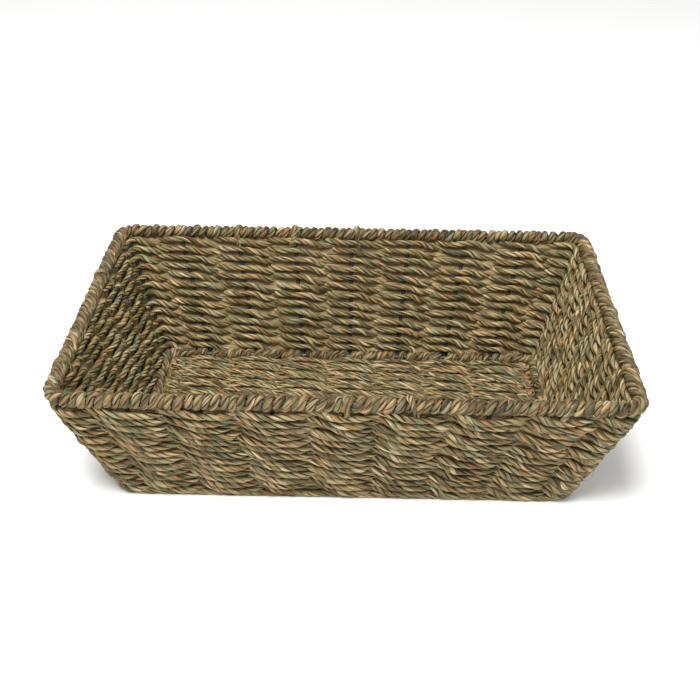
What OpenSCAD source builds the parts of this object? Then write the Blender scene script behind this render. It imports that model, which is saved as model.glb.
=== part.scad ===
// Woven bread basket: a welded wire frame, twined seagrass walls and base,
// and a rim and a foot ring wrapped closely in the same cord.
// The origin is at the centre of the footprint, on the surface it stands on, +Z up.

/* [Overall size] */
// Length of the rim, along the middle of its wire
rim_len = 390; // [360:5:420]
// Width of the rim, along the middle of its wire
rim_wid = 270; // [250:5:290]
// Height of the middle of the rim wire above the ground
rim_z = 100.7; // [90:0.1:120]
// Length of the foot ring, along the middle of its wire
foot_len = 314; // [300:1:326]
// Width of the foot ring, along the middle of its wire
foot_wid = 187; // [184:1:206]

/* [Wire frame] */
// Diameter of the rim wire and the foot wire
ring_wire_d = 4; // [3.5:0.1:4.5]
// Diameter of the stakes and the cross wires
stake_d = 3.2; // [2.8:0.1:3.4]
// Bend radius of the rim wire at a corner
rim_bend = 12; // [10:1:16]
// Bend radius of the foot wire at a corner
foot_bend = 8; // [8:1:10]
// Stakes between two corner posts on a long side, an odd number
long_stakes = 7; // [5:2:9]
// Stakes between two corner posts on a short side, an odd number
short_stakes = 5; // [3:2:7]

/* [Seagrass] */
// Twined rows up a wall
wall_rows = 13; // [11:1:14]
// Rows of cord across the base
base_rows = 24; // [20:2:24]
// Thickness of a wall strand
strand_t = 3.6; // [3:0.1:3.8]
// Thickness of a base strand
base_t = 2.9; // [2.6:0.1:3.1]
// Diameter over the wrapped rim
rim_wrap_d = 10.4; // [9.6:0.1:11]
// Diameter over the wrapped foot ring
foot_wrap_d = 9.4; // [9:0.1:9.8]

/* [Hidden] */
$fn = 48;
gap = 0.15;                                  // space left between neighbouring strands
stake_r = stake_d / 2;
ring_r = ring_wire_d / 2;
base_z = base_t + 0.1 + stake_r;             // middle of the cross wires
foot_z = foot_wrap_d / 2 + 0.4;              // middle of the foot wire
outset = ring_r + stake_r;                   // stakes stand against the outside of the foot wire
walls_from = foot_z + foot_wrap_d / 2 + 0.3; // underside of the lowest row
walls_to = rim_z - rim_wrap_d / 2 - 0.3;     // top of the highest row
row_h = (walls_to - walls_from) / wall_rows;
strand_h = row_h / 2 - gap;
flat = 5;                                    // half the straight stretch of a strand at a stake
lean = (rim_wid - foot_wid - 2 * outset) / 2 / (rim_z - foot_z);
// Where the near face of a wall strand lies from the middle of a stake, and of a corner post
near = stake_r * sqrt(1 + lean * lean) + strand_h / 2 * lean + gap;
near_post = 1.45 * near;
wrap_gap = stake_r + 1;                      // half the bare length that the wrapping leaves at a stake
base_pitch = 7.1;
base_end = (foot_len - foot_wrap_d) / 2 - 1.5; // end of the base strands
stake_drop = ring_r + 0.65;                  // a stake's top is welded under the rim wire
stake_low = foot_z - ring_r;                 // and its lower end is level with the foot wire's underside

// A size between its value at the foot ring and its value at the rim
function at(z, foot, rim) = foot + (rim - foot) * (z - foot_z) / (rim_z - foot_z);
// Half the plan of the stakes at a height, along X and along Y
function half_x(z) = at(z, foot_len / 2 + outset, rim_len / 2);
function half_y(z) = at(z, foot_wid / 2 + outset, rim_wid / 2);
// How far a corner post lies inside the square corner of that plan
function post_in(z) = (1 - sqrt(0.5)) * at(z, foot_bend + outset, rim_bend);
// Where stake i of n + 1 spaces stands along its side, as a share of half the side
function share(i, n) = 2 * i / (n + 1) - 1;

// A round wire from one point to another
module wire(from, to, r) {
    run = to - from;
    translate(from)
        rotate([0, acos(run.z / norm(run)), atan2(run.y, run.x)])
            cylinder(r = r, h = norm(run));
}

// A ring in plan with round corners; a section of radius r, hollow if bore is over 0
module corner_arc(r, bore, bend) {
    rotate_extrude(angle = 90)
        translate([bend, 0])
            difference() {
                circle(r);
                if (bore > 0) circle(bore);
            }
}

module ring_wire(len, wid, bend, z) {
    x = len / 2 - bend;
    y = wid / 2 - bend;
    translate([0, 0, z]) {
        for (s = [-1, 1]) {
            wire([-x, s * wid / 2, 0], [x, s * wid / 2, 0], ring_r);
            wire([s * len / 2, -y, 0], [s * len / 2, y, 0], ring_r);
        }
        for (q = [0:3])
            translate([(q == 0 || q == 3 ? 1 : -1) * x, (q < 2 ? 1 : -1) * y, 0])
                rotate(90 * q)
                    corner_arc(ring_r, 0, bend);
    }
}

module rim_wire() {
    color("darkslategray") ring_wire(rim_len, rim_wid, rim_bend, rim_z);
}

module foot_wire() {
    color("darkslategray") ring_wire(foot_len, foot_wid, foot_bend, foot_z);
}

// The lower and upper end of a stake's middle line
function stake_foot(ux, uy) = [ux * half_x(stake_low), uy * half_y(stake_low), stake_low];
function stake_top(ux, uy) =
    let (z = rim_z - stake_drop) [ux * half_x(z), uy * half_y(z), z];

// A wire across the base inside the foot ring, and the stakes of the long sides in line with it
module cross_wire(i) {
    ux = share(i, long_stakes);
    x = ux * half_x(foot_z);
    end = foot_wid / 2 - ring_r - gap;
    color("darkslategray") {
        wire([x, -end, base_z], [x, end, base_z], stake_r);
        for (s = [-1, 1]) wire(stake_foot(ux, s), stake_top(ux, s), stake_r);
    }
}

// A stake of a short side; side is -1 on the left and 1 on the right
module end_stake(side, i) {
    uy = share(i, short_stakes);
    color("darkslategray") wire(stake_foot(side, uy), stake_top(side, uy), stake_r);
}

function post_at(sx, sy, z) = [sx * (half_x(z) - post_in(z)), sy * (half_y(z) - post_in(z)), z];

module corner_post(sx, sy) {
    color("darkslategray")
        wire(post_at(sx, sy, stake_low), post_at(sx, sy, rim_z - stake_drop), stake_r);
}

// One side's run of a wall strand in plan, with the side along X and outwards along +Y.
// It passes outside the stakes where turn is even and inside where it is odd.
module strand_run(half, wall, z, stakes, turn) {
    end = half - post_in(z);
    function out(i) = (i + turn) % 2 == 0;
    // The face nearest the outside, and the one nearest the inside, at stake i
    function outer(i) = out(i) ? near + strand_t : -near;
    function inner(i) = out(i) ? near : -near - strand_t;
    function post_outer(i) = (out(i) ? near_post + strand_t * sqrt(2) : -near_post) * sqrt(0.5);
    function post_inner(i) = (out(i) ? near_post : -near_post - strand_t * sqrt(2)) * sqrt(0.5);
    last = stakes + 1;
    outside = [
        [-end - post_outer(0), wall - post_in(z) + post_outer(0)],
        for (i = [1:stakes], e = [-flat, flat]) [half * share(i, stakes) + e, wall + outer(i)],
        [end + post_outer(last), wall - post_in(z) + post_outer(last)]
    ];
    inside = [
        [end + post_inner(last), wall - post_in(z) + post_inner(last)],
        for (i = [stakes:-1:1], e = [flat, -flat]) [half * share(i, stakes) + e, wall + inner(i)],
        [-end - post_inner(0), wall - post_in(z) + post_inner(0)]
    ];
    polygon(concat(outside, inside));
}

// One strand round the basket, in a run for each side that ends on the corner posts
module strand(z, turn) {
    mid = z + strand_h / 2;
    translate([0, 0, z])
        for (q = [0:3])
            rotate(90 * q)
                linear_extrude(strand_h)
                    strand_run(
                        (q % 2 == 0 ? half_x(mid) : half_y(mid)) - gap,
                        q % 2 == 0 ? half_y(mid) : half_x(mid),
                        mid,
                        q % 2 == 0 ? long_stakes : short_stakes,
                        turn
                    );
}

// Two strands that pass each stake on opposite sides and change over between stakes
module wall_row(k) {
    z = walls_from + (k - 1) * row_h;
    color(k % 2 == 0 ? "tan" : "darkkhaki") {
        strand(z + gap / 2, k);
        strand(z + row_h / 2 + gap / 2, k + 1);
    }
}

// One cord across the base, over and under the cross wires in turn
module base_row(k) {
    h = stake_r + 0.1;
    over = function(i) (i + k) % 2 == 0;
    reach = half_x(foot_z);
    low = [for (i = [1:long_stakes], e = [-flat, flat])
        [reach * share(i, long_stakes) + e, over(i) ? h : -h - base_t]];
    high = [for (i = [long_stakes:-1:1], e = [flat, -flat])
        [reach * share(i, long_stakes) + e, over(i) ? h + base_t : -h]];
    ends = [
        [base_end, base_t / 2], [-base_end, base_t / 2],
        [-base_end, -base_t / 2], [base_end, -base_t / 2]
    ];
    translate([0, (k - (base_rows + 1) / 2) * base_pitch + (base_pitch - gap) / 2, base_z])
        rotate([90, 0, 0])
            linear_extrude(base_pitch - gap)
                polygon(concat([ends[2]], low, [ends[3], ends[0]], high, [ends[1]]));
}

// Two neighbouring rows of the base: the cord's run across and its run back
module base_lap(g) {
    color(g % 2 == 0 ? "tan" : "darkkhaki")
        for (k = [2 * g - 1:2 * g])
            if (k <= base_rows) base_row(k);
}

// Wrapping on one side of a ring, in a piece between each two stakes
module wrap_side(half, bend, reach, stakes, r) {
    for (i = [0:stakes]) {
        from = i == 0 ? -half + bend + gap : reach * share(i, stakes) + wrap_gap;
        to = i == stakes ? half - bend - gap : reach * share(i + 1, stakes) - wrap_gap;
        translate([from, 0, 0])
            rotate([0, 90, 0])
                difference() {
                    cylinder(r = r, h = to - from);
                    translate([0, 0, -1]) cylinder(r = ring_r + 0.05, h = to - from + 2);
                }
    }
}

// The whole wrapping of a ring, notched where the corner posts reach the wire
module ring_wrap(len, wid, bend, z, r, reach_x, reach_y) {
    for (s = [-1, 1]) {
        translate([0, s * wid / 2, z]) wrap_side(len / 2, bend, reach_x, long_stakes, r);
        translate([s * len / 2, 0, z])
            rotate(90)
                wrap_side(wid / 2, bend, reach_y, short_stakes, r);
    }
    for (q = [0:3]) {
        sx = q == 0 || q == 3 ? 1 : -1;
        sy = q < 2 ? 1 : -1;
        difference() {
            translate([sx * (len / 2 - bend), sy * (wid / 2 - bend), z])
                rotate(90 * q)
                    corner_arc(r, ring_r + 0.05, bend);
            wire(post_at(sx, sy, foot_z - 10), post_at(sx, sy, rim_z), stake_r + 0.2);
        }
    }
}

module rim_wrap() {
    color("burlywood")
        ring_wrap(rim_len, rim_wid, rim_bend, rim_z, rim_wrap_d / 2, half_x(rim_z), half_y(rim_z));
}

module foot_wrap() {
    color("burlywood")
        ring_wrap(foot_len, foot_wid, foot_bend, foot_z, foot_wrap_d / 2, half_x(foot_z), half_y(foot_z));
}

rim_wire();
foot_wire();
cross_wire(1);  // cross_wire_1
cross_wire(2);  // cross_wire_2
cross_wire(3);  // cross_wire_3
cross_wire(4);  // cross_wire_4
cross_wire(5);  // cross_wire_5
cross_wire(6);  // cross_wire_6
cross_wire(7);  // cross_wire_7
end_stake(-1, 1);  // left_stake_1
end_stake(-1, 2);  // left_stake_2
end_stake(-1, 3);  // left_stake_3
end_stake(-1, 4);  // left_stake_4
end_stake(-1, 5);  // left_stake_5
end_stake(1, 1);  // right_stake_1
end_stake(1, 2);  // right_stake_2
end_stake(1, 3);  // right_stake_3
end_stake(1, 4);  // right_stake_4
end_stake(1, 5);  // right_stake_5
corner_post(-1, -1);  // corner_post_front_left
corner_post(1, -1);  // corner_post_front_right
corner_post(-1, 1);  // corner_post_back_left
corner_post(1, 1);  // corner_post_back_right
wall_row(1);  // wall_row_01
wall_row(2);  // wall_row_02
wall_row(3);  // wall_row_03
wall_row(4);  // wall_row_04
wall_row(5);  // wall_row_05
wall_row(6);  // wall_row_06
wall_row(7);  // wall_row_07
wall_row(8);  // wall_row_08
wall_row(9);  // wall_row_09
wall_row(10);  // wall_row_10
wall_row(11);  // wall_row_11
wall_row(12);  // wall_row_12
wall_row(13);  // wall_row_13
base_lap(1);  // base_rows_01
base_lap(2);  // base_rows_02
base_lap(3);  // base_rows_03
base_lap(4);  // base_rows_04
base_lap(5);  // base_rows_05
base_lap(6);  // base_rows_06
base_lap(7);  // base_rows_07
base_lap(8);  // base_rows_08
base_lap(9);  // base_rows_09
base_lap(10);  // base_rows_10
base_lap(11);  // base_rows_11
base_lap(12);  // base_rows_12
rim_wrap();
foot_wrap();
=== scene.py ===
import math

import bmesh
import bpy
import numpy as np
from mathutils import Matrix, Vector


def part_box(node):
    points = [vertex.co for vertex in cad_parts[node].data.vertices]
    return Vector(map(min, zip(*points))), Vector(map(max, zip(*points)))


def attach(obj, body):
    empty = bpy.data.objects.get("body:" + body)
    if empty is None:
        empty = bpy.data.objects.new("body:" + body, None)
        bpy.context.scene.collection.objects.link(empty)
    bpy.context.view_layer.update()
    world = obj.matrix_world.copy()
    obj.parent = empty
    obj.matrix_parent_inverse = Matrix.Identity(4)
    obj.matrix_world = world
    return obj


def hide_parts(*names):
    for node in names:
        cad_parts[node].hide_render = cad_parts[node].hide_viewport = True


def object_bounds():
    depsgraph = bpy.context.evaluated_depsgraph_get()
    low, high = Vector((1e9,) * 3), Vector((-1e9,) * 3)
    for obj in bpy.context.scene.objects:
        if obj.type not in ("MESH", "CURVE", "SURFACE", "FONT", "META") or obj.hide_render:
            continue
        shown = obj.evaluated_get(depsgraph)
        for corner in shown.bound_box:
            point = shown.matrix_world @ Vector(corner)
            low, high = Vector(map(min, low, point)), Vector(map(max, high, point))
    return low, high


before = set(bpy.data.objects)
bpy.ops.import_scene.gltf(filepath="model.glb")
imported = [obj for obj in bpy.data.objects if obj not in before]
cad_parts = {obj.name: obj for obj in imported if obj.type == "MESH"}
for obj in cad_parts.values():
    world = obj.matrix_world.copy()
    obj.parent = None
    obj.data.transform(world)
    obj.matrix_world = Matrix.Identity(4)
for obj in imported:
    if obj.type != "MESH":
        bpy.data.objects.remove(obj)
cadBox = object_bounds()
print("frame loaded:", len(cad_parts), "nodes")

mm = 0.001


# sizes of the wire frame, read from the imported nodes

def ringOf(node):
    low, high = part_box(node)
    wire = (high[2] - low[2]) / 2
    return {
        "x": (high[0] - low[0]) / 2 - wire,
        "y": (high[1] - low[1]) / 2 - wire,
        "z": (high[2] + low[2]) / 2,
        "wire": wire,
    }


rim = ringOf("rim_wire")
foot = ringOf("foot_wire")
stakeLow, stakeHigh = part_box("cross_wire_4")

plan = {
    "rimBend": 12 * mm,         # radius of the rim wire at a corner
    "footBend": 8 * mm,
    "longSpaces": 8,            # spaces between stakes on a long side
    "shortSpaces": 6,
    "stake": (stakeHigh[0] - stakeLow[0]) / 2,
}
plan["outset"] = foot["wire"] + plan["stake"]  # stakes stand outside the foot wire
plan["round"] = 2 * (plan["longSpaces"] + plan["shortSpaces"])


# camera

camera = {
    "aside": 12.8 * mm,
    "back": 797 * mm,
    "height": 520 * mm,
    "turn": 0.0144,             # radians, to the left
    "tilt": 0.5191,             # radians, down
    "roll": 0.0107,
    "lens": 61.6,
}


def addCamera(view):
    data = bpy.data.cameras.new("camera")
    data.lens = view["lens"]
    data.sensor_width = 36
    eye = bpy.data.objects.new("camera", data)
    bpy.context.collection.objects.link(eye)
    turn = Matrix.Rotation(view["turn"], 4, "Z")
    tilt = Matrix.Rotation(math.pi / 2 - view["tilt"], 4, "X")
    roll = Matrix.Rotation(view["roll"], 4, "Z")
    place = Matrix.Translation((view["aside"], -view["back"], view["height"]))
    eye.matrix_world = place @ turn @ tilt @ roll
    bpy.context.scene.camera = eye


addCamera(camera)
print("camera placed")


# materials

def linearColour(code):
    parts = [int(code[i:i + 2], 16) / 255 for i in (1, 3, 5)]
    return [c / 12.92 if c <= 0.04045 else ((c + 0.055) / 1.055) ** 2.4 for c in parts] + [1]


def addNode(tree, kind, settings=None, values=None, links=None):
    # settings are attributes, values fill sockets, links feed sockets
    node = tree.nodes.new(kind)
    for key, value in (settings or {}).items():
        setattr(node, key, value)
    for key, value in (values or {}).items():
        node.inputs[key].default_value = value
    for key, source in (links or {}).items():
        tree.links.new(source, node.inputs[key])
    return node


def fillRamp(node, stops):
    ramp = node.color_ramp
    while len(ramp.elements) > 1:
        ramp.elements.remove(ramp.elements[-1])
    for i, (at, code) in enumerate(stops):
        stop = ramp.elements[0] if i == 0 else ramp.elements.new(at)
        stop.position = at
        stop.color = linearColour(code)


# how the grass streaks: length and width in millimetres, a shift that keeps them apart, and detail
grain = {
    "tone": (17, 2.8, 3.1, 1.0),    # one ply is paler or darker for about a turn of the cord
    "blade": (32, 0.9, 9.7, 2.0),   # flat blades a millimetre or so wide
    "vein": (9, 0.5, 17.3, 2.0),    # veins, drawn coarser than life so that they show
    "bleach": (55, 2.6, 23.9, 1.0),
    "rust": (20, 2.2, 31.7, 1.0),
}


def seagrassCord(name, look):
    material = bpy.data.materials.new(name)
    material.use_nodes = True
    tree = material.node_tree
    shader = tree.nodes["Principled BSDF"]
    # plySpace runs along the ply in x and round it in y and z, in millimetres
    ply = addNode(tree, "ShaderNodeAttribute", {"attribute_name": "plySpace"}).outputs["Vector"]
    # crevice is 0 on the open side of a ply and 1 where it meets the next
    crevice = addNode(tree, "ShaderNodeAttribute", {"attribute_name": "crevice"}).outputs["Fac"]
    pattern = {"crevice": crevice}
    for key, (along, across, shift, detail) in grain.items():
        place = addNode(
            tree, "ShaderNodeMapping", None,
            {"Scale": (1 / along, 1 / across, 1 / across), "Location": (shift, shift, -shift)},
            {"Vector": ply},
        )
        pattern[key] = addNode(
            tree, "ShaderNodeTexNoise", None, {"Scale": 1.0, "Detail": detail, "Roughness": 0.55},
            {"Vector": place.outputs["Vector"]},
        ).outputs["Fac"]

    # each share: the pattern it reads, from where to where, and what that becomes
    shares = {
        "bleached": ("bleach", look["bleachFrom"] - 0.06, look["bleachFrom"] + 0.06, 0, 1),
        "rusty": ("rust", look["rustFrom"], look["rustFrom"] + 0.07, 0, 0.85),
        "shade": ("vein", 0.32, 0.68, 0.7, 1.24),
        # painted shade in the crevices between the plies
        "seamShaded": ("crevice", 0.68, 1.02, 0, look["seamShade"]),
        "rough": ("vein", 0.3, 0.7, 0.46, 0.7),
    }
    share = {}
    for key, (source, low, high, bottom, top) in shares.items():
        share[key] = addNode(
            tree, "ShaderNodeMapRange", {"clamp": True},
            {"From Min": low, "From Max": high, "To Min": bottom, "To Max": top},
            {"Value": pattern[source]},
        ).outputs["Result"]

    # tone and blade together pick a shade from each dye
    half = addNode(
        tree, "ShaderNodeMath", {"operation": "MULTIPLY"}, {1: 0.5}, {0: pattern["blade"]})
    mixed = addNode(
        tree, "ShaderNodeMath", {"operation": "MULTIPLY_ADD"}, {1: 0.5},
        {0: pattern["tone"], 2: half.outputs["Value"]},
    )
    dyes = []
    for stops in (look["green"], look["straw"]):
        ramp = addNode(tree, "ShaderNodeValToRGB", None, None, {"Fac": mixed.outputs["Value"]})
        fillRamp(ramp, stops)
        dyes.append(ramp.outputs["Color"])
    # sockets 6 and 7 of a mix are its two colours, and output 2 is the mixed one
    # some blades dried green and some bleached to straw
    dried = addNode(
        tree, "ShaderNodeMix", {"data_type": "RGBA"}, None,
        {"Factor": share["bleached"], 6: dyes[0], 7: dyes[1]},
    ).outputs[2]
    # rust-brown sheaths show here and there
    rusted = addNode(
        tree, "ShaderNodeMix", {"data_type": "RGBA"}, {7: linearColour(look["rust"])},
        {"Factor": share["rusty"], 6: dried},
    ).outputs[2]
    veined = addNode(
        tree, "ShaderNodeVectorMath", {"operation": "SCALE"}, None,
        {0: rusted, "Scale": share["shade"]},
    ).outputs["Vector"]
    # painted shade: the colour darkens to a deep brown where the plies meet
    seamDarkened = addNode(
        tree, "ShaderNodeMix", {"data_type": "RGBA"}, {7: linearColour("#2a1d0a")},
        {"Factor": share["seamShaded"], 6: veined},
    ).outputs[2]
    tree.links.new(seamDarkened, shader.inputs["Base Color"])
    # relief: blade edges stand out, veins are fine grooves
    bladeRelief = addNode(
        tree, "ShaderNodeBump", None, {"Strength": 0.7, "Distance": 0.7 * mm},
        {"Height": pattern["blade"]},
    )
    veinRelief = addNode(
        tree, "ShaderNodeBump", None, {"Strength": 0.6, "Distance": 0.3 * mm},
        {"Height": pattern["vein"], "Normal": bladeRelief.outputs["Normal"]},
    )
    tree.links.new(veinRelief.outputs["Normal"], shader.inputs["Normal"])
    tree.links.new(share["rough"], shader.inputs["Roughness"])
    shader.inputs["IOR"].default_value = 1.45
    return material


greenStops = [
    (0.34, "#2a220b"), (0.42, "#4c4725"), (0.48, "#68633c"), (0.54, "#807a53"), (0.61, "#9b956f"),
    (0.70, "#b6b08e"),
]
strawStops = [
    (0.34, "#38280e"), (0.42, "#634d28"), (0.48, "#856b40"), (0.54, "#a18759"), (0.61, "#bca479"),
    (0.70, "#d6c4a0"),
]
greenWrapStops = [
    (0.34, "#241d0a"), (0.42, "#403b1d"), (0.48, "#575333"), (0.54, "#6d6946"), (0.61, "#87825f"),
    (0.70, "#a6a17f"),
]
strawWrapStops = [
    (0.34, "#2e210d"), (0.42, "#4f3a1d"), (0.48, "#6b5331"), (0.54, "#856c45"), (0.61, "#a18a63"),
    (0.70, "#c6b28c"),
]
# painted shade: one dull grass brown for the sheets that fill the gaps of the weave
shadeSheetStops = [(0.35, "#7c6845"), (0.65, "#a08a60")]
# seamShade is how far the painted shade between the plies darkens the colour
wallLook = {
    "green": greenStops, "straw": strawStops, "bleachFrom": 0.50, "rust": "#8f5528",
    "rustFrom": 0.655, "seamShade": 0.85,
}
baseLook = dict(wallLook, bleachFrom=0.47, seamShade=0.75)
wrapLook = dict(
    wallLook, green=greenWrapStops, straw=strawWrapStops, bleachFrom=0.47, rustFrom=0.64,
    rust="#8a5a2a")
shadeSheetLook = dict(wallLook, green=shadeSheetStops, straw=shadeSheetStops, seamShade=0)
fibreLook = dict(wallLook, bleachFrom=0.40, rustFrom=0.64, seamShade=0.2)

# twisted dried seagrass: matt and streaky, olive where it dried green and straw where it bleached
wallCord = seagrassCord("twistedSeagrassWalls", wallLook)
baseCord = seagrassCord("twistedSeagrassBase", baseLook)
wrapCord = seagrassCord("twistedSeagrassWrapping", wrapLook)
# painted shade: blades inside the weave, the same grass in one dull brown, standing in for the shade seen
# through the gaps
shadeSheetGrass = seagrassCord("shadeSheetSeagrass", shadeSheetLook)
# single blades and fibres that have worked loose: paler, because light gets at them from all sides
looseGrass = seagrassCord("looseSeagrassFibre", fibreLook)


def greenEnamelledWire():
    # stove-enamelled mild steel wire: dark green, satin, with small runs and specks
    material = bpy.data.materials.new("greenEnamelledWire")
    material.use_nodes = True
    tree = material.node_tree
    shader = tree.nodes["Principled BSDF"]
    place = addNode(tree, "ShaderNodeTexCoord").outputs["Object"]
    specks = addNode(
        tree, "ShaderNodeTexNoise", None, {"Scale": 1 / (2.5 * mm), "Detail": 3.0}, {"Vector": place},
    )
    colour = addNode(tree, "ShaderNodeValToRGB", None, None, {"Fac": specks.outputs["Fac"]})
    fillRamp(colour, [(0.35, "#1a231d"), (0.6, "#27352b")])
    tree.links.new(colour.outputs["Color"], shader.inputs["Base Color"])
    runs = addNode(
        tree, "ShaderNodeBump", None, {"Strength": 0.4, "Distance": 0.2 * mm},
        {"Height": specks.outputs["Fac"]},
    )
    tree.links.new(runs.outputs["Normal"], shader.inputs["Normal"])
    shader.inputs["Roughness"].default_value = 0.42
    shader.inputs["IOR"].default_value = 1.5
    return material


wireMaterial = greenEnamelledWire()
for node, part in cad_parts.items():
    if "wire" in node or "stake" in node or "post" in node:
        part.data.materials.clear()
        part.data.materials.append(wireMaterial)
print("materials made")


# cords: every cord is three plies twisted together, each ply a bevelled curve

def smoothWander(rng, at, period, size, slowest, fastest):
    # a wandering value that closes on itself after a period
    total = np.zeros_like(at)
    for _ in range(7):
        waves = rng.integers(slowest, fastest + 1)
        total += rng.normal() * np.sin(2 * np.pi * waves * at / period + rng.uniform(0, 2 * np.pi))
    return size * total / math.sqrt(7 / 2)


def alongLine(points, closed):
    # distance along the line, its length, and its unit tangents
    if closed:
        ahead = np.roll(points, -1, 0)
        steps = np.linalg.norm(ahead - points, axis=1)
        run = np.concatenate([[0], np.cumsum(steps)[:-1]])
        tangent = ahead - np.roll(points, 1, 0)
        length = steps.sum()
    else:
        steps = np.linalg.norm(np.diff(points, axis=0), axis=1)
        run = np.concatenate([[0], np.cumsum(steps)])
        tangent = np.gradient(points, axis=0)
        length = run[-1]
    return run, length, tangent / np.linalg.norm(tangent, axis=1)[:, None]


plyLines = []                   # every ply, for the loose fibres that leave it


def twistCord(rng, centre, outward, cord, closed, full=1.0):
    # outward is the way the flat face of the cord looks
    run, length, tangent = alongLine(centre, closed)
    face = outward - (outward * tangent).sum(1)[:, None] * tangent
    face /= np.linalg.norm(face, axis=1)[:, None]
    side = np.cross(tangent, face)
    turns = max(round(length / cord["twist"]), 1)
    swing = smoothWander(rng, run, length, 0.5, 1, max(int(length / 0.06), 2))
    angle = 2 * np.pi * turns * run / length + swing + rng.uniform(0, 6.28)
    fat = 1 + smoothWander(rng, run, length, cord["uneven"], 1, max(int(length / 0.03), 2))
    plies = []
    for part in range(3):
        here = angle + part * 2 * math.pi / 3
        away = np.cos(here)[:, None] * face * cord["squash"] + np.sin(here)[:, None] * side
        thick = fat * (1 + smoothWander(rng, run, length, cord["uneven"], 2, max(int(length / 0.012), 3)))
        thick = cord["ply"] * np.clip(thick, 0.72, 1.35) * full
        plies.append({
            "points": centre + away * (cord["spread"] * full * np.ones(len(run)))[:, None],
            "axis": centre,
            "face": face,
            "radius": thick,
            "run": run + rng.uniform(0, 40),
            "closed": closed,
        })
    plyLines.extend(plies)
    return plies


def pliesToMesh(name, plies, sides, material, wider=1.3, shallower=0.95):
    # bevelled curves made a mesh, with the attributes that the cord materials read
    curve = bpy.data.curves.new(name, "CURVE")
    curve.dimensions = "3D"
    curve.bevel_depth = 1.0
    curve.bevel_resolution = (sides - 4) // 2
    for ply in plies:
        count = len(ply["points"])
        spline = curve.splines.new("POLY")
        spline.points.add(count - 1)
        spline.points.foreach_set("co", np.hstack([ply["points"], np.ones((count, 1))]).ravel())
        spline.points.foreach_set("radius", ply["radius"])
        spline.use_cyclic_u = ply["closed"]
        spline.use_smooth = True
    holder = bpy.data.objects.new(name + "Curve", curve)
    bpy.context.collection.objects.link(holder)
    bpy.context.view_layer.update()
    mesh = bpy.data.meshes.new_from_object(holder)
    bpy.data.objects.remove(holder)
    bpy.data.curves.remove(curve)
    mesh.name = name

    place = np.empty(len(mesh.vertices) * 3)
    mesh.vertices.foreach_get("co", place)
    place = place.reshape(-1, sides, 3)
    centres = np.concatenate([ply["points"] for ply in plies])
    axes = np.concatenate([ply["axis"] for ply in plies])
    tangents = np.concatenate([alongLine(ply["points"], ply["closed"])[2] for ply in plies])
    runs = np.concatenate([ply["run"] for ply in plies])
    radii = np.concatenate([ply["radius"] for ply in plies])
    out = centres - axes
    out -= (out * tangents).sum(1)[:, None] * tangents
    out /= np.maximum(np.linalg.norm(out, axis=1), 1e-9)[:, None]
    across = np.cross(tangents, out)
    spoke = place - centres[:, None, :]
    outPart = (spoke * out[:, None, :]).sum(2) / radii[:, None]
    acrossPart = (spoke * across[:, None, :]).sum(2) / radii[:, None]
    # a ply is pressed flat against its neighbour, so that it is wider than it is deep
    place = centres[:, None, :] + radii[:, None, None] * (
        shallower * outPart[:, :, None] * out[:, None, :]
        + wider * acrossPart[:, :, None] * across[:, None, :])
    mesh.vertices.foreach_set("co", place.ravel())
    angle = np.arctan2(acrossPart, outPart) + (2 * np.pi * runs / (26 * mm))[:, None]
    plySpace = np.stack([
        np.repeat(runs[:, None], sides, 1) / mm,
        np.cos(angle) * radii[:, None] / mm,
        np.sin(angle) * radii[:, None] / mm,
    ], axis=2)
    layer = mesh.attributes.new("plySpace", "FLOAT_VECTOR", "POINT")
    layer.data.foreach_set("vector", plySpace.astype(np.float32).ravel())
    layer = mesh.attributes.new("crevice", "FLOAT", "POINT")
    layer.data.foreach_set("value", (1 - outPart).astype(np.float32).ravel())

    if not all(ply["closed"] for ply in plies):
        ends = bmesh.new()
        ends.from_mesh(mesh)
        bmesh.ops.holes_fill(ends, edges=[e for e in ends.edges if e.is_boundary], sides=sides)
        ends.to_mesh(mesh)
        ends.free()
    mesh.polygons.foreach_set("use_smooth", [True] * len(mesh.polygons))
    mesh.materials.clear()
    mesh.materials.append(material)
    piece = bpy.data.objects.new(name, mesh)
    bpy.context.collection.objects.link(piece)
    return piece


def ridesOn(piece, nodes):
    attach(piece, "root")
    if nodes:
        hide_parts(*nodes)


# the plan of the walls at a height, and places on it

def wallPlan(z):
    up = (z - foot["z"]) / (rim["z"] - foot["z"])
    lowX, lowY = foot["x"] + plan["outset"], foot["y"] + plan["outset"]
    lowBend = plan["footBend"] + plan["outset"]
    halfX = lowX + up * (rim["x"] - lowX)
    halfY = lowY + up * (rim["y"] - lowY)
    return halfX, halfY, lowBend + up * (plan["rimBend"] - lowBend)


def besideSide(spaces, at, half, bend):
    # place along a side, how far the corner draws it in, and how far its face turns
    fold = np.minimum(at, spaces - at)
    quarter = bend * math.pi / 4
    space = 2 * half / spaces
    run = np.where(fold < 1, fold * (quarter + space - bend), quarter - bend + fold * space)
    turn = np.where(run < quarter, math.pi / 4 - run / bend, 0)
    along = np.where(run < quarter, half - bend + bend * np.sin(turn), half - bend - (run - quarter))
    sign = np.where(at < spaces / 2, -1, 1)
    return sign * along, bend * (1 - np.cos(turn)), sign * turn


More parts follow.
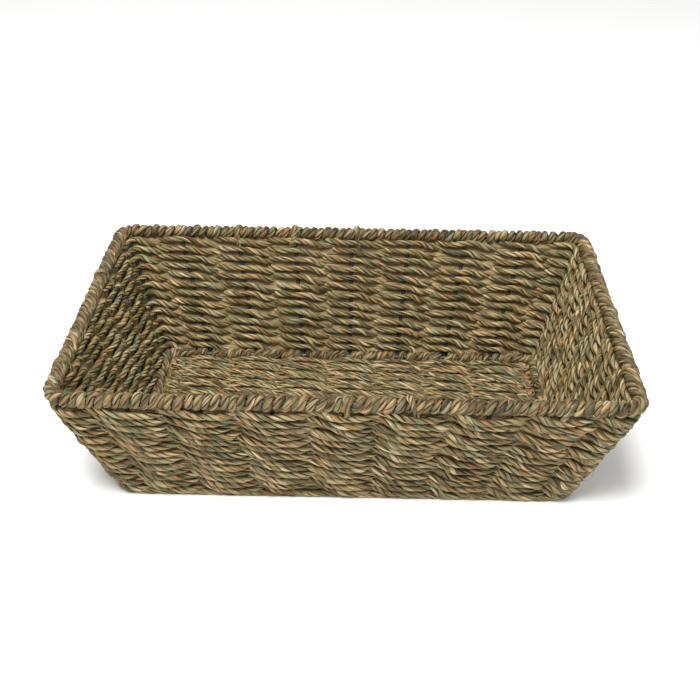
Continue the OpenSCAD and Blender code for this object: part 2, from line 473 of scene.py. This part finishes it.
def onWall(at, z):
    # places on the stakes' own surface, at numbers of stakes from the front left post
    at = np.mod(at, plan["round"])
    halfX, halfY, bend = wallPlan(z)
    places, faces = np.zeros((len(at), 3)), np.zeros((len(at), 3))
    places[:, 2] = z
    start = 0
    sides = [((1, 0), (0, -1)), ((0, 1), (1, 0)), ((-1, 0), (0, 1)), ((0, -1), (-1, 0))]
    for i, (ahead, out) in enumerate(sides):
        spaces = plan["longSpaces"] if i % 2 == 0 else plan["shortSpaces"]
        here = (at >= start) & (at < start + spaces)
        half, wall = (halfX, halfY) if i % 2 == 0 else (halfY, halfX)
        along, drawnIn, turn = besideSide(spaces, at[here] - start, half[here], bend[here])
        for axis in (0, 1):
            places[here, axis] = ahead[axis] * along + out[axis] * (wall[here] - drawnIn)
            faces[here, axis] = ahead[axis] * np.sin(turn) + out[axis] * np.cos(turn)
        start += spaces
    return places, faces


def ringLine(ring, bend, count):
    # places and outward faces evenly round a ring with round corners, from the front left corner
    x, y = ring["x"] - bend, ring["y"] - bend
    lengths = [2 * x, bend * math.pi / 2, 2 * y, bend * math.pi / 2] * 2
    total = sum(lengths)
    run = np.arange(count) * total / count
    places, faces = np.zeros((count, 3)), np.zeros((count, 3))
    places[:, 2] = ring["z"]
    corner = np.array([[-x, -y], [x, -y], [x, y], [-x, y]])
    start = 0
    for i, length in enumerate(lengths):
        here = (run >= start) & (run < start + length)
        part = run[here] - start
        side = i // 2
        if i % 2 == 0:
            face = -math.pi / 2 + side * math.pi / 2 + np.zeros_like(part)
            ahead = np.array([math.cos(face[0] + math.pi / 2), math.sin(face[0] + math.pi / 2)])
            middle = corner[side] + part[:, None] * ahead
        else:
            face = -math.pi / 2 + side * math.pi / 2 + part / bend
            middle = np.repeat(corner[(side + 1) % 4][None, :], len(part), 0)
        faces[here, 0], faces[here, 1] = np.cos(face), np.sin(face)
        places[here, :2] = middle + bend * faces[here, :2]
        start += length
    return places, faces, run, total


lean = math.atan2(rim["y"] - foot["y"] - plan["outset"], rim["z"] - foot["z"])


# walls

walls = {
    "rows": 13,
    "from": 6.3 * mm,           # level of the lowest row where it runs flat
    "to": 90.4 * mm,            # level of the highest
    "cord": {"ply": 1.12 * mm, "spread": 1.32 * mm, "twist": 21 * mm, "squash": 0.95, "uneven": 0.11},
    "step": 1.6 * mm,
    # a strand's way past one stake outside and one inside: stake, depth and level in millimetres
    "weave": [
        (-0.50, 1.6, 5.9), (-0.40, 3.2, 5.3), (-0.33, 3.9, 4.4), (-0.20, 4.3, 1.3), (-0.10, 4.3, 0.4),
        (0.10, 4.3, 0.2), (0.30, 3.6, 0.2), (0.42, 1.6, 0.5), (0.52, -1.0, 0.6), (0.62, -3.2, 1.0),
        (0.68, -3.8, 1.5), (0.80, -4.2, 4.2), (0.88, -4.2, 4.4), (1.20, -4.1, 4.4), (1.36, -2.6, 4.9),
    ],
    "fuller": (0.20, 0.12),     # the cord swells where it hangs free, and on the outside
    "middle": 2.4 * mm,         # level halfway between a strand's outside and inside runs
    # unevenness of the hand: of a row, of one strand's level and depth, and along it in stakes
    "wander": {"row": 0.35 * mm, "level": 0.32 * mm, "depth": 0.25 * mm, "along": 0.05},
    # the lowest row hangs outside the foot ring and clears it inside
    "lowest": {"hang": 1.35, "clear": 1.45, "depth": 0.9, "waver": 0.3},
    # one more strand runs straight along the floor below it
    "floorStrand": {"level": 2.5 * mm, "depth": 4.1 * mm},
    # flat blades laid in along the stakes close the gaps between the rows: dull sheets that stand in for
    # the shade seen through them, painted shade
    "shadeSheets": {"rises": (3.0 * mm, 6.5 * mm), "width": 1.9 * mm, "step": 4 * mm},
}


def weaveTable(keys):
    # the way past the stakes, eased: 240 values over two stakes
    at = np.linspace(-0.5, 1.5, 240, endpoint=False)
    stakes = [k[0] for k in keys]
    reach = np.arange(-30, 31) / 120
    ease = np.exp(-0.5 * (reach / 0.05) ** 2)
    ease /= ease.sum()
    table = []
    for column in (1, 2):
        raw = np.interp(at, stakes, [k[column] for k in keys], period=2)
        padded = np.concatenate([raw[-30:], raw, raw[:30]])
        table.append(np.convolve(padded, ease, "valid") * mm)
    return at, table[0], table[1]


wallWeave = weaveTable(walls["weave"])


def pastStakes(table, at):
    at = np.mod(at + 0.5, 2) - 0.5
    return np.interp(at, table[0], table[1], period=2), np.interp(at, table[0], table[2], period=2)


def wallRow(row):
    rng = np.random.default_rng(100 + row)
    level = walls["from"] + (walls["to"] - walls["from"]) * row / (walls["rows"] - 1)
    low = walls["lowest"] if row == 0 else {"hang": 1, "clear": 1, "depth": 1, "waver": 1}
    halfX, halfY, _ = wallPlan(level)
    count = int(4.3 * (halfX + halfY) / walls["step"])
    at = np.arange(count) * plan["round"] / count
    wander, middle = walls["wander"], walls["middle"]
    waver = smoothWander(rng, at, plan["round"], wander["row"], 3, 16)
    plies = []
    for strand in (0, 1):
        shift = smoothWander(rng, at, plan["round"], wander["along"], 8, 28)
        depth, rise = pastStakes(wallWeave, at + strand + row + shift)
        free = np.mod(at + shift + 0.77, 1) - 0.5
        full = 1 + walls["fuller"][0] * np.exp(-(free / 0.13) ** 2)
        full += walls["fuller"][1] * np.clip(depth / (4 * mm), 0, 1)
        depth = depth * np.where(depth > 0, low["depth"], 1)
        stray = waver + smoothWander(rng, at, plan["round"], wander["level"], 8, 40)
        rise = middle + (rise - middle) * np.where(rise < middle, low["hang"], low["clear"])
        rise += stray * low["waver"]
        depth = depth + smoothWander(rng, at, plan["round"], wander["depth"], 6, 50)
        places, faces = onWall(at, level + rise * math.cos(lean))
        normals = faces * math.cos(lean)
        normals[:, 2] = -math.sin(lean)
        line = places + normals * depth[:, None]
        plies += twistCord(rng, line, normals, walls["cord"], True, full)
    if row == 0:
        laid = walls["floorStrand"]
        places, faces = onWall(at, np.full(count, laid["level"]))
        line = places + faces * laid["depth"]
        line[:, 2] += smoothWander(rng, at, plan["round"], 0.15 * mm, 6, 30)
        plies += twistCord(rng, line, faces, walls["cord"], True)
    piece = pliesToMesh(f"wallRow{row + 1:02d}", plies, 6, wallCord)
    ridesOn(piece, [f"wall_row_{row + 1:02d}"])


# painted shade: dull strips behind the rows, where the gaps would show the floor
def shadeSheetBlades():
    rng = np.random.default_rng(90)
    laid = walls["shadeSheets"]
    pitch = (walls["to"] - walls["from"]) / (walls["rows"] - 1)
    strips = []
    for level in np.arange(walls["rows"]) * pitch + walls["from"]:
        halfX, halfY, _ = wallPlan(level)
        count = int(4.3 * (halfX + halfY) / laid["step"])
        at = np.arange(count) * plan["round"] / count
        for above in laid["rises"]:
            rise = above + smoothWander(rng, at, plan["round"], 0.2 * mm, 8, 40)
            places, faces = onWall(at, level + rise * math.cos(lean))
            normals = faces * math.cos(lean)
            normals[:, 2] = -math.sin(lean)
            run, _, _ = alongLine(places, True)
            strips.append({
                "points": places,
                "axis": places - normals * mm,
                "radius": np.full(count, laid["width"]),
                "run": run + rng.uniform(0, 40),
                "closed": True,
            })
    piece = pliesToMesh("shadeSheetBlades", strips, 6, shadeSheetGrass, 1.3, 0.12)
    ridesOn(piece, [])


shadeSheetBlades()
for row in range(walls["rows"]):
    wallRow(row)
print("walls woven")


# base: one pair of cords runs to and fro across the cross wires

baseLow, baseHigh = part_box("base_rows_01")

base = {
    "rows": 24,
    "pitch": 7.1 * mm,
    "level": (baseLow[2] + baseHigh[2]) / 2,
    "reach": foot["x"] - 10.8 * mm,
    "cord": {"ply": 0.96 * mm, "spread": 1.5 * mm, "twist": 22 * mm, "squash": 0.55, "uneven": 0.09},
    "step": 1.6 * mm,
    "depthShare": 0.66,         # how far the cords rise and fall, as a share of the walls' weave
    "levelShare": 0.5,
    "edge": {"inset": 7.2 * mm, "below": 1 * mm, "width": 2.8 * mm},
}


def baseLine():
    # the middle line of the pair of cords, the stakes passed, and where each row starts
    reach, pitch = base["reach"], base["pitch"]
    space = 2 * (foot["x"] + plan["outset"]) / plan["longSpaces"]
    straight = np.linspace(-reach, reach, int(2 * reach / base["step"]))
    bendAngle = np.linspace(0, np.pi, 9)[1:-1]
    places, passed, starts = [], [], [0]
    for row in range(base["rows"]):
        y = (row - (base["rows"] - 1) / 2) * pitch
        ahead = 1 if row % 2 == 0 else -1
        x = ahead * straight
        places.append(np.stack([x, np.full_like(x, y)], 1))
        stakes = straight / space + plan["longSpaces"] / 2
        passed.append(stakes + plan["longSpaces"] * row)
        if row < base["rows"] - 1:
            turnX = ahead * (reach + pitch / 2 * np.sin(bendAngle))
            turnY = y + pitch / 2 - pitch / 2 * np.cos(bendAngle)
            places.append(np.stack([turnX, turnY], 1))
            gapStakes = np.linspace(stakes[-1], stakes[0] + plan["longSpaces"], 9)[1:-1]
            passed.append(gapStakes + plan["longSpaces"] * row)
        starts.append(sum(len(p) for p in places))
    return np.concatenate(places), np.concatenate(passed), starts


def weaveBase():
    rng = np.random.default_rng(40)
    places, passed, starts = baseLine()
    flow = np.gradient(places, axis=0)
    flow /= np.linalg.norm(flow, axis=1)[:, None]
    left = np.stack([-flow[:, 1], flow[:, 0], np.zeros(len(flow))], 1)
    upward = np.zeros_like(left)
    upward[:, 2] = 1
    centre = np.hstack([places, np.full((len(places), 1), base["level"])])
    inBend = np.abs(places[:, 0]) > base["reach"] * 0.995
    flat = np.where(inBend, 0.35, 1.0)
    strands = []
    for strand in (0, 1):
        depth, rise = pastStakes(wallWeave, passed + strand)
        depth = depth * base["depthShare"] * flat
        rise = (rise - walls["middle"]) * base["levelShare"] * flat
        depth = depth + np.abs(smoothWander(rng, passed, passed[-1], 0.2 * mm, 60, 600))
        rise = rise + smoothWander(rng, passed, passed[-1], 0.35 * mm, 60, 600)
        line = centre + upward * depth[:, None] + left * rise[:, None]
        strands += twistCord(rng, line, upward, base["cord"], False)
    for lap in range(base["rows"] // 2):
        first, last = starts[2 * lap], starts[2 * lap + 2]
        cut = slice(first, min(last + 1, len(places)))
        plies = [
            {key: (value if key == "closed" else value[cut]) for key, value in ply.items()}
            for ply in strands
        ]
        piece = pliesToMesh(f"baseLap{lap + 1:02d}", plies, 6, baseCord)
        ridesOn(piece, [f"base_rows_{lap + 1:02d}"])


def baseEdge():
    # flat blades between the outermost rows and the foot ring: a dull sheet that stands in for the shade
    # line between them, painted shade
    places, faces, run, _ = ringLine(foot, plan["footBend"], 480)
    places = places - faces * base["edge"]["inset"]
    places[:, 2] = base["level"] - base["edge"]["below"]
    strip = {
        "points": places,
        "axis": places - np.array([0, 0, mm]),
        "radius": np.full(len(run), base["edge"]["width"]),
        "run": run,
        "closed": True,
    }
    ridesOn(pliesToMesh("baseEdgeShadeSheet", [strip], 6, shadeSheetGrass, 1.3, 0.1), [])


weaveBase()
baseEdge()
print("base woven")


# wrapping of the rim and the foot ring

rimWrap = {
    "pitch": 5.8 * mm, "radius": 3.2 * mm, "step": 1.2 * mm, "bareAtStakes": 0.0, "loose": 0.16,
    "cord": {"ply": 1.42 * mm, "spread": 1.5 * mm, "twist": 15 * mm, "squash": 0.75, "uneven": 0.14},
}
footWrap = {
    "pitch": 5.8 * mm, "radius": 2.75 * mm, "step": 1.2 * mm, "bareAtStakes": 0.85, "loose": 0.12,
    "cord": {"ply": 1.42 * mm, "spread": 1.5 * mm, "twist": 15 * mm, "squash": 0.75, "uneven": 0.12},
}


def stakeRuns(ring, bend):
    # distances round a ring to its stakes, from the end of the front left corner
    x, y, arc = ring["x"] - bend, ring["y"] - bend, bend * math.pi / 2
    reachX, reachY, _ = wallPlan(ring["z"])
    runs, start = [], 0
    for side in range(4):
        half, reach, spaces = (x, reachX, plan["longSpaces"]) if side % 2 == 0 else (
            y, reachY, plan["shortSpaces"])
        for i in range(1, spaces):
            runs.append(start + half + reach * (2 * i / spaces - 1))
        start += 2 * half + arc
    return runs


def wrapRing(name, ring, bend, wrap, seed, node):
    rng = np.random.default_rng(seed)
    perimeter = 4 * (ring["x"] + ring["y"]) - 8 * bend + 2 * math.pi * bend
    turns = round(perimeter / wrap["pitch"])
    cordLength = turns * math.hypot(2 * math.pi * wrap["radius"], wrap["pitch"])
    count = int(cordLength / wrap["step"])
    # the cord winds evenly, or runs bare past the stakes
    fine = np.linspace(0, perimeter, 6000)
    winding = 1 + np.clip(smoothWander(rng, fine, perimeter, wrap["loose"], 8, 70), -0.3, 0.3)
    for run in stakeRuns(ring, bend):
        winding *= 1 - wrap["bareAtStakes"] * np.exp(-((fine - run) / (2.6 * mm)) ** 4)
    wound = np.concatenate([[0], np.cumsum((winding[1:] + winding[:-1]) / 2)])
    wound *= turns / wound[-1]
    share = np.arange(count) / count
    # equal steps along the cord, which is mostly winding
    places, faces, run, total = ringLine(ring, bend, 6000)
    along = np.interp(share * turns, wound, fine)
    closedRun = np.append(run, total)
    middle, face = (
        np.stack([np.interp(along, closedRun, np.append(p[:, k], p[0, k])) for k in range(3)], 1)
        for p in (places, faces))
    face /= np.linalg.norm(face, axis=1)[:, None]
    angle = 2 * np.pi * turns * share
    radial = np.cos(angle)[:, None] * face
    radial[:, 2] += np.sin(angle)
    reach = wrap["radius"] * (1 + smoothWander(rng, share, 1, 0.05, 40, 500))
    slant = smoothWander(rng, share, 1, 0.6 * mm, 60, 400)
    ahead = np.stack([-face[:, 1], face[:, 0], np.zeros(count)], 1)
    centre = middle + radial * reach[:, None] + ahead * slant[:, None]
    plies = twistCord(rng, centre, radial, wrap["cord"], True)
    piece = pliesToMesh(name, plies, 6, wrapCord)
    ridesOn(piece, [node])


ties = {
    "share": 0.4,               # of the stakes
    "halfWidth": 5.2 * mm, "top": 5.4 * mm, "bottom": 11.5 * mm, "points": 34,
    "cord": {"ply": 1.15 * mm, "spread": 1.2 * mm, "twist": 15 * mm, "squash": 0.7, "uneven": 0.15},
}


def rimTies():
    # loops that bind the topmost row to the rim beside some of the stakes
    rng = np.random.default_rng(33)
    places, faces, run, total = ringLine(rim, plan["rimBend"], 6000)
    turn = np.linspace(0, 2 * np.pi, ties["points"], endpoint=False)
    plies = []
    for stake in stakeRuns(rim, plan["rimBend"]):
        if rng.random() > ties["share"]:
            continue
        i = int((stake + rng.uniform(-5, 5) * mm) / total * 6000) % 6000
        out, ahead = faces[i], np.array([-faces[i][1], faces[i][0], 0])
        middle = (ties["top"] - ties["bottom"]) / 2
        up = middle + (ties["top"] + ties["bottom"]) / 2 * np.sin(turn)
        aside = ties["halfWidth"] * np.cos(turn) + np.minimum(up, 0) * math.tan(lean)
        slant = rng.uniform(-3, 3) * mm * np.sin(turn + rng.uniform(0, 6.28))
        line = places[i] + aside[:, None] * out + slant[:, None] * ahead
        line[:, 2] += up
        outward = line - places[i] - np.array([0, 0, middle])
        plies += twistCord(rng, line, outward, ties["cord"], True)
    ridesOn(pliesToMesh("rimTies", plies, 6, wrapCord), [])


rimTies()
wrapRing("rimWrapping", rim, plan["rimBend"], rimWrap, 7, "rim_wrap")
wrapRing("footWrapping", foot, plan["footBend"], footWrap, 8, "foot_wrap")
print("rings wrapped")


# blades and fibres that have worked loose from the cords

loose = {
    "flakes": 420,
    "flakeLength": (5, 13),     # points along a ply
    "flakeWidth": (0.6 * mm, 1.25 * mm),
    "fibres": 700,
    "fibreLength": (4 * mm, 13 * mm),
    "fibreWidth": (0.09 * mm, 0.2 * mm),
}


def outwards(ply, i):
    away = ply["points"][i] - ply["axis"][i]
    return away / np.linalg.norm(away)


def pickOnPly(rng, span):
    # a place where the ply lies on the open side of its cord
    weights = np.array([len(ply["points"]) for ply in plyLines], float)
    for _ in range(60):
        ply = plyLines[rng.choice(len(plyLines), p=weights / weights.sum())]
        i = int(rng.integers(span, len(ply["points"]) - span))
        if abs(np.dot(outwards(ply, i), ply["face"][i])) > 0.75:
            return ply, i
    return ply, i


def peeledBlades():
    rng = np.random.default_rng(71)
    strips = []
    for _ in range(loose["flakes"]):
        count = int(rng.integers(*loose["flakeLength"]))
        ply, i = pickOnPly(rng, 16)
        here = np.arange(i - count // 2, i - count // 2 + count)
        out = np.stack([outwards(ply, j) for j in here])
        share = np.linspace(0, 1, count)
        if ply["points"][here][:, 2].min() < 3 * mm:
            continue            # too near the floor
        lift = 0.93 * ply["radius"][here] + (0.1 + rng.uniform(0, 0.9) * share ** 3) * mm
        width = rng.uniform(*loose["flakeWidth"]) * np.sin(np.pi * (0.12 + 0.8 * share)) ** 0.6
        strips.append({
            "points": ply["points"][here] + out * lift[:, None],
            "axis": ply["points"][here],
            "radius": width,
            "run": ply["run"][here] + rng.uniform(0, 40),
            "closed": False,
        })
    return pliesToMesh("peeledBlades", strips, 6, looseGrass, 1.5, 0.2)


def looseFibres():
    rng = np.random.default_rng(72)
    strands = []
    for _ in range(loose["fibres"]):
        ply, i = pickOnPly(rng, 3)
        out = outwards(ply, i)
        along = ply["points"][i + 1] - ply["points"][i - 1]
        along = along / np.linalg.norm(along) * rng.choice([-1, 1])
        across = np.cross(along, out)
        length = rng.uniform(*loose["fibreLength"])
        t = np.linspace(0, 1, 7)
        rise = rng.uniform(0.1, 0.5) * length * t ** rng.uniform(1.1, 2.2)
        drift = rng.uniform(-0.35, 0.35) * length * t ** 1.6
        start = ply["points"][i] + out * 0.8 * ply["radius"][i]
        points = start + along * (length * t)[:, None] + out * rise[:, None] + across * drift[:, None]
        if points[:, 2].min() < 0.4 * mm or points[:, 2].max() > cadBox[1][2] + 3 * mm:
            continue            # it would reach into the floor, or well over the rim
        thick = rng.uniform(*loose["fibreWidth"]) * (1 - 0.75 * t)
        strands.append({
            "points": points,
            "axis": points - out * mm,
            "radius": thick,
            "run": length * t + rng.uniform(0, 40),
            "closed": False,
        })
    return pliesToMesh("looseFibres", strands, 4, looseGrass, 1.3, 0.8)


for piece in (peeledBlades(), looseFibres()):
    ridesOn(piece, [])
print("loose blades and fibres laid")


# floor, light and sky

studio = {
    "floor": "#f6f6f5",
    "sky": "#ffffff",
    "skyStrength": 0.67,
    "key": {"place": (-0.3, -1.0, 2.0), "size": 0.8, "power": 62},
    "fill": {"place": (0.7, -1.1, 1.3), "size": 1.2, "power": 3},
}


def addFloor():
    shape = bmesh.new()
    bmesh.ops.create_grid(shape, x_segments=1, y_segments=1, size=4)
    mesh = bpy.data.meshes.new("floor")
    shape.to_mesh(mesh)
    shape.free()
    floor = bpy.data.objects.new("floor", mesh)
    bpy.context.collection.objects.link(floor)
    paper = bpy.data.materials.new("paleBackdropPaper")
    paper.use_nodes = True
    shader = paper.node_tree.nodes["Principled BSDF"]
    shader.inputs["Base Color"].default_value = linearColour(studio["floor"])
    shader.inputs["Roughness"].default_value = 0.9
    mesh.materials.append(paper)


def addSoftbox(name, light):
    data = bpy.data.lights.new(name, "AREA")
    data.size = light["size"]
    data.energy = light["power"]
    lamp = bpy.data.objects.new(name, data)
    bpy.context.collection.objects.link(lamp)
    lamp.location = light["place"]
    toBasket = -lamp.location.copy()
    lamp.rotation_euler = toBasket.to_track_quat("-Z", "Y").to_euler()


addFloor()
addSoftbox("keySoftbox", studio["key"])
addSoftbox("fillSoftbox", studio["fill"])
sky = bpy.data.worlds.new("studioSky")
sky.use_nodes = True
sky.node_tree.nodes["Background"].inputs["Color"].default_value = linearColour(studio["sky"])
sky.node_tree.nodes["Background"].inputs["Strength"].default_value = studio["skyStrength"]
bpy.context.scene.world = sky
bpy.context.scene.view_settings.view_transform = "Standard"
print("studio lit")
